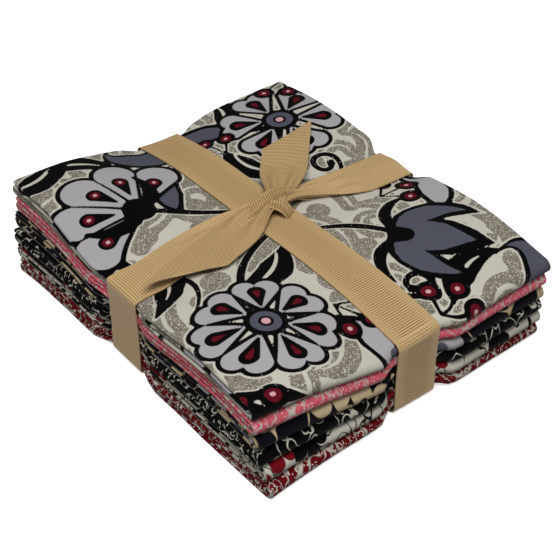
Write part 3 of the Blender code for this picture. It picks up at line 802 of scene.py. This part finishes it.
def finish_cotton(finish, place, colour, gloss=None):
    """Add what all the cottons share: a mottled tone, a paler back and the weave."""
    mottle = finish.noise(place, 14.0, 3.0)
    mottle = finish.sum("MULTIPLY_ADD", mottle, 0.5, -0.1, clamp=True)
    colour = finish.mix(mottle, colour, (0.92, 0.91, 0.9, 1.0), "MULTIPLY")
    colour = finish.mix((1 - finish.number("printed")) * 0.6, colour, PALE)
    roughness = 0.86 if gloss is None else 0.86 - gloss * 0.5
    return finish.surface(colour, roughness, finish.weave(place), 0.35)


def sparkled(finish, place, colour, cover, base, dark, size=0.4, amount=0.93):
    """Lay glitter over a colour where cover is 1, with its brightest flecks painted near white as glints. Returns
    the colour and how much it shines.
    """
    fleck, shade = finish.glitter(place, size)
    glinting = finish.sum("GREATER_THAN", fleck, amount)
    grain = finish.mix(shade, base, dark)
    # Painted glints: the brightest flecks turn near white
    grain = finish.mix(glinting * 0.85, grain, GLINT)
    return finish.mix(cover, colour, grain), cover * glinting


def cream_floral():
    """The top print, from the layers that the mesh holds."""
    finish = cotton("cream_floral_cotton")
    place = finish.cloth_place()
    layer = {name: finish.cover(finish.number(name)) for name in Print.LAYERS}
    colour, shine = sparkled(finish, place, CREAM, layer["glitter"], BEIGE, DUSK, 0.36, 0.94)
    # A little glitter strays over the ink as well, as near white specks of painted glint
    stray = finish.glitter(place, 0.4)[0]
    colour = finish.mix(layer["ink"], colour, INK)
    for name, paint in (("mauve", MAUVE), ("slate", SLATE), ("wine", WINE), ("blush", BLUSH)):
        colour = finish.mix(layer[name], colour, paint)
    beside = finish.cover(finish.number("glitter") + 1.6, 1.0)
    stray_glints = finish.sum("GREATER_THAN", stray, 0.985) * beside
    colour = finish.mix(stray_glints * 0.6, colour, GLINT)
    return finish_cotton(finish, place, colour, shine)


def scroll_cotton(name, ground, paint, dark, amount):
    """A scroll print in one colour with glitter, over a pale ground."""
    finish = cotton(name)
    place = finish.cloth_place()
    bent = finish.node("ShaderNodeTexNoise", {"noise_dimensions": "2D"}, {"Vector": place, "Scale": 1 / 16})
    bent = finish.node("ShaderNodeVectorMath", {"operation": "MULTIPLY_ADD"},
                       {0: bent.outputs["Color"], 1: (7.0, 7.0, 0.0), 2: place}).outputs[0]
    reach, angle, dice = finish.blooms(finish.scaled(bent, 15.0))
    arms = finish.sum("SINE", angle + reach * 17.0 + dice[0] * 6.28)
    curls = finish.cover(arms + amount, 0.35)
    lobes = finish.sum("SINE", angle * 5.0 + dice[1] * 6.28) * 0.07
    core = finish.cover((0.3 + lobes) - reach, 0.05)
    body = finish.sum("MAXIMUM", curls, core)
    veins = finish.sum("ABSOLUTE", finish.noise(bent, 6.0, 1.0) - 0.5)
    body = body * (1 - finish.cover(0.022 - veins, 0.02))
    colour = finish.mix(body, ground, paint)
    colour, shine = sparkled(finish, place, colour, body * 0.8, paint, dark, 0.4, 0.93)
    return finish_cotton(finish, place, colour, shine)


def petal_cotton(name, ground, petals, second, hearts, size, share):
    """Large open flowers on a plain ground, with thin stems. share is how many take the second colour, and
    hearts holds the heart of each colour."""
    finish = cotton(name)
    place = finish.cloth_place()
    reach, angle, dice = finish.blooms(finish.scaled(place, size))
    angle = angle + dice[0] * 6.28
    wave = finish.sum("ABSOLUTE", finish.sum("SINE", angle * 2.5))
    edge = 0.2 + finish.sum("SQRT", wave) * 0.27
    flower = finish.cover(edge - reach, 0.02)
    pick = finish.sum("LESS_THAN", dice[1], share)
    vein = finish.sum("ABSOLUTE", finish.noise(place, size * 0.5, 1.0) - 0.5)
    colour = finish.mix(finish.cover(0.018 - vein, 0.01), ground, petals)
    colour = finish.mix(flower, colour, finish.mix(pick, petals, second))
    heart = finish.mix(pick, hearts[0], hearts[1])
    colour = finish.mix(finish.cover((edge * 0.62 - 0.06) - reach, 0.02), colour, heart)
    return finish_cotton(finish, place, colour)


def vine_cotton(name):
    """Fine white vines and small leaves on black."""
    finish = cotton(name)
    place = finish.cloth_place()
    vine = finish.sum("ABSOLUTE", finish.noise(place, 9.0, 1.5) - 0.5)
    line = finish.cover(0.015 - vine, 0.012)
    reach, angle, dice = finish.blooms(finish.scaled(place, 6.5))
    angle = angle + dice[0] * 6.28
    edge = 0.12 + finish.sum("ABSOLUTE", finish.sum("COSINE", angle)) * 0.22
    leaf = finish.cover(0.045 - finish.sum("ABSOLUTE", edge - reach), 0.03)
    leaf = leaf * finish.sum("GREATER_THAN", dice[1], 0.5)
    colour = finish.mix(finish.sum("MAXIMUM", line, leaf), INK, CREAM)
    return finish_cotton(finish, place, colour)


def grosgrain():
    """Gold ribbon: satin ribs, with painted shade darkening the grooves between them, and flat selvedges."""
    finish = Finish("grosgrain_ribbon", Sheen_Weight=0.05, Sheen_Roughness=0.35, Specular_IOR_Level=0.28)
    place = finish.cloth_place()
    rib = finish.number("rib")
    drawn_out = finish.node("ShaderNodeMapping", None, {0: place, 3: (0.6, 6.0, 1.0)}).outputs[0]
    thread = finish.noise(drawn_out, 1.4, 2.0)
    worn = finish.noise(place, 9.0, 2.0)
    # Painted shade: darker gold in the grooves between the ribs and gold on their crests, following the rib height
    colour = finish.mix(finish.cover(rib + 0.22, 1.3), GOLD_GROOVE_SHADE, GOLD)
    colour = finish.mix(thread * 0.35, colour, tone(214, 184, 132))
    colour = finish.mix(worn * 0.22, colour, tone(172, 134, 82))
    return finish.surface(colour, 0.5 - thread * 0.12, finish.weave(place, 0.3), 0.2)


def ribbon_length(points):
    """How far along a path each of its points lies."""
    return np.concatenate([[0.0], np.cumsum(np.linalg.norm(np.diff(points, axis=0), axis=1))])


def ribs(length, across, fade=1.0):
    """Height of the ribs: none on the selvedges."""
    inside = ease((RIBBON_WIDTH / 2 - 0.5 - np.abs(across)) / 0.5)
    return np.cos(2 * np.pi * length / RIB_PITCH) * inside * fade


def flat_band():
    """The band along Y, which lies flat over the top and passes under the knot."""
    faces = [DEPTH / 2 - pinch + RIBBON_GAP + SOLID_RIBBON / 2 for pinch in (PINCH_FRONT, PINCH_BACK)]
    return wrapped(FLAT_COLUMNS, faces, LARGE_FOLD_BEND, SOLID_RIBBON / 2, flat_band_top)


def flat_band_top(s, w):
    """The flat band's middle surface over the top: X, Y and height at s along Y."""
    x = band_y_middle(s) + w
    return np.stack([x, s, top_height(x, s) + 0.35], axis=-1)


BAND_X_ROWS = np.array([
    # x, y of the middle, width, lift over the cloth
    (-78.0, 2.4, 22.0, 0.0),
    (-58.0, 2.6, 22.0, 0.0),
    (-44.0, 3.6, 22.0, 0.0),
    (-30.0, 5.0, 20.5, 0.2),
    (-18.0, 6.4, 14.5, 1.5),
    (-6.0, 5.6, 8.8, 3.6),
    (6.0, 4.0, 7.6, 4.8),
    (16.0, 5.0, 7.2, 3.6),
    (26.0, 5.2, 11.0, 1.5),
    (38.0, 3.4, 17.6, 0.4),
    (50.0, 2.2, 22.0, 0.0),
    (60.0, 1.8, 22.0, 0.0),
    (78.0, 1.6, 22.0, 0.0),
])


def pleat_height(width, t, pleats, phase=0.0):
    """Height of the pleats of a ribbon that is gathered to this width, at t from 0 to 1 across it."""
    spare = np.clip(RIBBON_WIDTH / width - 1, 0, None)
    tall = np.minimum(width / (2 * np.pi * pleats) * np.sqrt(4 * spare), 1.25)
    return tall * np.cos(2 * np.pi * (pleats * t + 0.12 * np.sin(2 * np.pi * t)) + phase)


def gathered_band():
    """The band along X, which gathers to the knot from both sides."""
    columns = np.linspace(-RIBBON_WIDTH / 2, RIBBON_WIDTH / 2, BAND_COLUMNS)
    faces = [WIDTH / 2 - pinch + RIBBON_GAP + SOLID_RIBBON / 2 for pinch in (PINCH_LEFT, PINCH_RIGHT)]
    return wrapped(columns, faces, RIM_BEND, SOLID_RIBBON / 2 + 0.25, gathered_band_top)


def gathered_band_top(s, w):
    """The gathered band's middle surface over the top at s along X."""
    middle, width, lift = (smooth_between(s, BAND_X_ROWS[:, 0], BAND_X_ROWS[:, k]) for k in (1, 2, 3))
    width = np.minimum(width, RIBBON_WIDTH)
    middle = middle + (band_x_middle(s) - middle) * ease((np.abs(s) - 60) / 12)
    t = w / RIBBON_WIDTH + 0.5
    y = middle + width * (t - 0.5)
    z = top_height(s, y) + 0.4 + lift + pleat_height(width, t, 3, 0.4)
    return np.stack([s, y, z], axis=-1)


def wrapped(columns, faces, corner, foot, top):
    """A closed band round the stack, from its surface over the top. Returns the grid, with one row a station,
    and the length along the ribbon of each row."""
    along_x = top is gathered_band_top
    step = RIB_PITCH / 4
    span = faces[0] + faces[1] - 2 * corner
    run = np.linspace(-(faces[0] - corner), faces[1] - corner, int(span / step) + 1)
    grids = []
    for w in columns:
        over = top(run, w)
        flat = over[:, [0, 2]] if along_x else over[:, [1, 2]]
        side_place = {1: over[-1, 1] if along_x else over[-1, 0], -1: over[0, 1] if along_x else over[0, 0]}
        downs = {}
        for side, face, high in ((1, faces[1], flat[-1, 1]), (-1, faces[0], flat[0, 1])):
            path = []
            for turn in np.radians(np.linspace(90, 0, TOP_BEND_STEPS)[1:]):
                path.append((side * (face - corner + corner * math.cos(turn)),
                             high - corner + corner * math.sin(turn)))
            # A slight inward bow between the bends, where the ribbon spans the folds
            for t in np.linspace(0, 1, FACE_STEPS)[1:-1]:
                z = (high - corner) * (1 - t) + (foot + corner) * t
                path.append((side * (face - 0.45 * math.sin(math.pi * t)), z))
            for turn in np.radians(np.linspace(0, 90, FOOT_BEND_STEPS)[:-1]):
                path.append((side * (face - corner + corner * math.cos(turn)),
                             foot + corner - corner * math.sin(turn)))
            place = np.full((len(path), 1), side_place[side])
            path = np.array(path)
            down = np.hstack([path[:, :1], place, path[:, 1:]]) if along_x else np.hstack([place, path])
            downs[side] = down
        under_s = np.linspace(faces[1] - corner, -(faces[0] - corner), UNDER_STEPS)
        sideways = np.linspace(side_place[1], side_place[-1], UNDER_STEPS)
        level = np.full(UNDER_STEPS, foot)
        under = np.column_stack([under_s, sideways, level] if along_x else [sideways, under_s, level])
        grids.append(np.vstack([over, downs[1], under, downs[-1][::-1]]))
    grid = np.stack(grids, axis=1)
    length = ribbon_length(grid[:, len(columns) // 2])
    return grid, length


# The free ends: their middle line, width, lift over the cloth, tilt across and how far the edges curl down
TAIL_BACK = np.array([
    # x, y, width, lift, tilt, curl
    (3.4, 1.6, 8.0, 4.2, 0.0, 1.2),
    (6.4, 4.6, 9.0, 6.4, 0.0, 1.2),
    (13.3, 11.8, 14.0, 6.0, 0.6, 0.6),
    (20.4, 19.2, 20.0, 4.4, 1.2, 0.2),
    (27.2, 26.6, 22.0, 3.0, 1.2, 0.0),
    (33.9, 34.0, 22.0, 2.2, 0.8, -0.3),
    (42.0, 43.0, 22.0, 2.0, 0.5, -0.4),
    (52.0, 54.0, 22.0, 2.2, 0.5, -0.4),
])
TAIL_BACK_CUT = ((37.1, 37.3), (51.4, 52.9))
TAIL_FRONT = np.array([
    (5.0, 4.8, 8.0, 5.0, 0.0, 1.0),
    (0.0, 4.2, 8.6, 5.8, 0.0, 1.2),
    (-9.0, 2.6, 15.6, 4.8, 0.4, 0.5),
    (-19.6, -0.9, 21.0, 3.2, 0.4, 0.1),
    (-31.5, -4.4, 22.0, 2.2, 0.0, 0.0),
    (-44.0, -8.2, 22.0, 1.9, 0.0, 0.0),
    (-58.0, -12.5, 22.0, 1.9, 0.0, 0.0),
    (-72.0, -16.8, 22.0, 2.0, 0.0, 0.0),
])
TAIL_FRONT_CUT = ((-40.6, -6.9), (-68.6, -15.8))

# The knot: strips of the same ribbon, gathered, that arch over it
KNOT_WRAP = np.array([
    (-15.0, 6.2, 8.0, 0.0, 0.0, 0.8),
    (-10.5, 5.4, 8.2, 4.0, 0.0, 1.6),
    (-5.0, 4.9, 7.2, 7.6, 0.0, 2.8),
    (1.4, 5.0, 6.6, 9.8, 0.0, 3.2),
    (8.0, 5.5, 6.4, 9.4, 0.0, 3.0),
    (14.0, 6.0, 6.8, 6.8, 0.0, 2.4),
    (19.0, 6.0, 8.0, 3.6, 0.0, 1.6),
    (24.0, 5.6, 8.0, 0.0, 0.0, 0.8),
])
KNOT_TUCK = np.array([
    (0.4, 6.6, 7.6, 6.0, 0.0, 1.4),
    (2.8, 3.0, 7.8, 7.4, 0.0, 2.0),
    (5.4, -0.2, 7.6, 6.2, 0.0, 2.2),
    (7.2, -2.6, 7.2, 2.8, 0.0, 1.8),
    (7.8, -3.6, 6.8, -0.4, 0.0, 1.2),
])


def free_strip(table, across_way=None, pleats=2.0, phase=0.0, columns=STRIP_COLUMNS, cut=None, lowest=0.5):
    """A strip of ribbon along a table of (x, y, width, lift, tilt, curl). Returns its grid, the length of each
    row, and where its slanted end lies at each column."""
    away = ribbon_length(table[:, [0, 1, 3]])
    count = int(away[-1] / (RIB_PITCH / 4)) + 2
    s = np.linspace(0, away[-1], count)
    x, y, width, lift, tilt, curl = (smooth_between(s, away, table[:, k]) for k in range(6))
    width = np.minimum(width, RIBBON_WIDTH)
    tangent = np.gradient(np.column_stack([x, y]), axis=0)
    across = unit(np.column_stack([tangent[:, 1], -tangent[:, 0]]))
    if across_way is not None:
        across = np.tile(unit(np.array(across_way, float)), (count, 1))
    t = np.linspace(0, 1, columns)
    px = x[:, None] + across[:, :1] * width[:, None] * (t - 0.5)
    py = y[:, None] + across[:, 1:] * width[:, None] * (t - 0.5)
    ground = np.maximum(np.maximum(top_height(px[:, 0], py[:, 0]), top_height(px[:, -1], py[:, -1])),
                        top_height(px[:, columns // 2], py[:, columns // 2]))
    bow = (2 * t - 1) ** 2
    z = ground[:, None] + lift[:, None] + tilt[:, None] * (2 * t - 1) - curl[:, None] * bow
    z = z + pleat_height(width[:, None], t[None, :], pleats, phase + 0.035 * s[:, None])
    grid = np.stack([px, py, np.maximum(z, top_height(px, py) + lowest)], axis=-1)
    length = ribbon_length(grid[:, columns // 2])
    ends = None
    if cut:
        spots = [int(np.argmin(np.hypot(x - cx, y - cy))) for cx, cy in cut]
        ends = np.interp(t, (0, 1), length[spots])
    return grid, length, ends


def strip_mesh(grid, length, closed=False, ends=None, shift=0.0):
    """Rib a strip, cut its slanted end and give it its thickness. Returns vertices, faces, places and ribs."""
    rows, columns = grid.shape[:2]
    across = np.linspace(-RIBBON_WIDTH / 2, RIBBON_WIDTH / 2, columns)
    if columns == len(FLAT_COLUMNS):
        across = FLAT_COLUMNS
    s = np.tile(length[:, None], (1, columns))
    if ends is not None:
        # Rows beyond the cut fold back onto it
        last = np.minimum(s, ends[None, :])
        for j in range(columns):
            for k in range(3):
                grid[:, j, k] = np.interp(last[:, j], length, grid[:, j, k])
        s = last
    wave = ribs(s, across[None, :])
    grid = grid + grid_normals(grid, closed) * (wave * RIB_HEIGHT)[..., None]
    verts, faces = shell(grid, RIBBON_CLOTH, closed)
    if ends is not None:
        corners = verts[faces]
        spread = np.cross(corners[:, 2] - corners[:, 0], corners[:, 3] - corners[:, 1])
        faces = faces[np.linalg.norm(spread, axis=1) / 2 > 1e-4]
    places = np.stack([s + shift, across[None, :] + 0 * s], axis=-1).reshape(-1, 2)
    return verts, faces, np.concatenate([places, places]), np.tile(wave.ravel(), 2)


def tied_ribbon():
    """The one ribbon: both bands, the knot and the two free ends."""
    strips = []
    for grid, length in (flat_band(), gathered_band()):
        strips.append(strip_mesh(grid, length, closed=True, shift=len(strips) * STRIP_SHIFT))
    for table, way, pleats, phase, cut, lowest in (
        (TAIL_BACK, None, 2.5, 0.3, TAIL_BACK_CUT, 0.5),
        (TAIL_FRONT, None, 2.5, 1.0, TAIL_FRONT_CUT, 0.5),
        (KNOT_WRAP, (0.06, -1.0), 2.5, 0.0, None, 0.2),
        (KNOT_TUCK, (-0.85, -0.5), 2.5, 1.6, None, -0.2),
    ):
        grid, length, ends = free_strip(table, way, pleats, phase, cut=cut, lowest=lowest)
        strips.append(strip_mesh(grid, length, ends=ends, shift=len(strips) * STRIP_SHIFT))
    start, verts, faces, places, waves = 0, [], [], [], []
    for strip_verts, strip_faces, strip_places, strip_waves in strips:
        verts.append(strip_verts)
        faces.append(strip_faces + start)
        places.append(strip_places)
        waves.append(strip_waves)
        start += len(strip_verts)
    return add_piece("tied_ribbon", np.vstack(verts), np.vstack(faces), np.vstack(places),
                     {"rib": np.concatenate(waves)})


COTTONS = {
    "red_scroll_cotton": lambda: scroll_cotton("red_scroll_cotton", CREAM, RED, RED_DARK, 0.82),
    "black_leaf_cotton": lambda: petal_cotton("black_leaf_cotton", CREAM, INK, RED, (INK, CORAL), 19.0, 0.35),
    "black_vine_cotton": lambda: vine_cotton("black_vine_cotton"),
    "night_petal_cotton": lambda: petal_cotton("night_petal_cotton", NIGHT, TAN, MAUVE, (NIGHT, SLATE), 30.0, 0.25),
    "coral_scroll_cotton": lambda: scroll_cotton("coral_scroll_cotton", CREAM, CORAL, CORAL_DARK, 0.88),
    "cream_floral_cotton": cream_floral,
}


def stack_of_quarters():
    """All six quarters from the bottom up."""
    total = sum(row[2] for row in QUARTERS)
    level, below = 0.0, None
    for node, slot, share, corners, mirrored, seed in QUARTERS:
        height = NOMINAL_HEIGHT * share / total
        top = node == "fat_quarter_6"
        spacing = TOP_SPACING if top else LOWER_SPACING
        grid, place = folded_quarter(level, height - PIECE_GAP, corners, mirrored, seed, spacing)
        verts, faces = shell(grid, CLOTH)
        places = place.reshape(-1, 2)
        count = len(places)
        sides = np.repeat([0.0, 1.0] if mirrored else [1.0, 0.0], count)
        values = {"printed": sides}
        if top:
            layers = top_print(WIDTH / 2 - places[:, 0], DEPTH / 2 - places[:, 1])
            values.update({name: np.tile(layer, 2) for name, layer in layers.items()})
        if mirrored:
            faces = faces[:, ::-1]
        piece = add_piece(slot.replace("_cotton", "_quarter"), verts, faces,
                          np.concatenate([places, places]), values)
        piece.data.materials.append(COTTONS[slot]())
        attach(piece, "root")
        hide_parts(node)
        below = piece.name
        level += height


def dress_ribbon():
    """The ribbon, declared and finished."""
    piece = tied_ribbon()
    piece.data.materials.append(grosgrain())
    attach(piece, "root")
    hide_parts("ribbon")


def soft_light(name, at, aim, size, watts):
    """A large soft lamp."""
    data = bpy.data.lights.new(name, "AREA")
    data.shape, data.size, data.energy = "SQUARE", size, watts
    lamp = bpy.data.objects.new(name, data)
    lamp.location = at
    lamp.rotation_euler = (Vector(aim) - Vector(at)).to_track_quat("-Z", "Y").to_euler()
    bpy.context.scene.collection.objects.link(lamp)


def set_scene():
    """Camera, lights and floor."""
    scene = bpy.context.scene
    camera_data = bpy.data.cameras.new("camera")
    camera_data.lens, camera_data.sensor_width = CAMERA_LENS, CAMERA_SENSOR
    camera = bpy.data.objects.new("camera", camera_data)
    camera.location = CAMERA_PLACE
    camera.rotation_euler = Vector(CAMERA_AIM).to_track_quat("-Z", "Y").to_euler()
    scene.collection.objects.link(camera)
    scene.camera = camera
    scene.view_settings.view_transform = "Standard"
    world = bpy.data.worlds.new("studio")
    world.use_nodes = True
    world.node_tree.nodes["Background"].inputs[0].default_value = (1.0, 1.0, 1.0, 1.0)
    world.node_tree.nodes["Background"].inputs[1].default_value = 0.16
    scene.world = world
    soft_light("key", (-0.22, -0.27, 0.82), (0.0, 0.0, 0.03), 0.5, 6.9)
    soft_light("fill", (0.5, -0.8, 0.4), (0.0, 0.0, 0.02), 0.8, 0.6)
    mesh = bpy.data.meshes.new("floor")
    half = 3.0
    corners = [(-half, -half, 0), (half, -half, 0), (half, half, 0), (-half, half, 0)]
    mesh.from_pydata(corners, [], [(0, 1, 2, 3)])
    floor = bpy.data.objects.new("floor", mesh)
    scene.collection.objects.link(floor)
    paper = Finish("floor", Specular_IOR_Level=0.1, Emission_Color=(1.0, 1.0, 1.0, 1.0), Emission_Strength=0.62)
    grain = paper.noise(paper.node("ShaderNodeTexCoord").outputs["Object"], 0.4)
    mesh.materials.append(paper.surface(paper.mix(grain * 0.04, (0.92, 0.92, 0.92, 1), (0.88, 0.88, 0.88, 1)), 0.9))
    # The floor takes shadows and throws no light back at the folds
    floor.visible_diffuse = False


set_scene()
stack_of_quarters()
dress_ribbon()
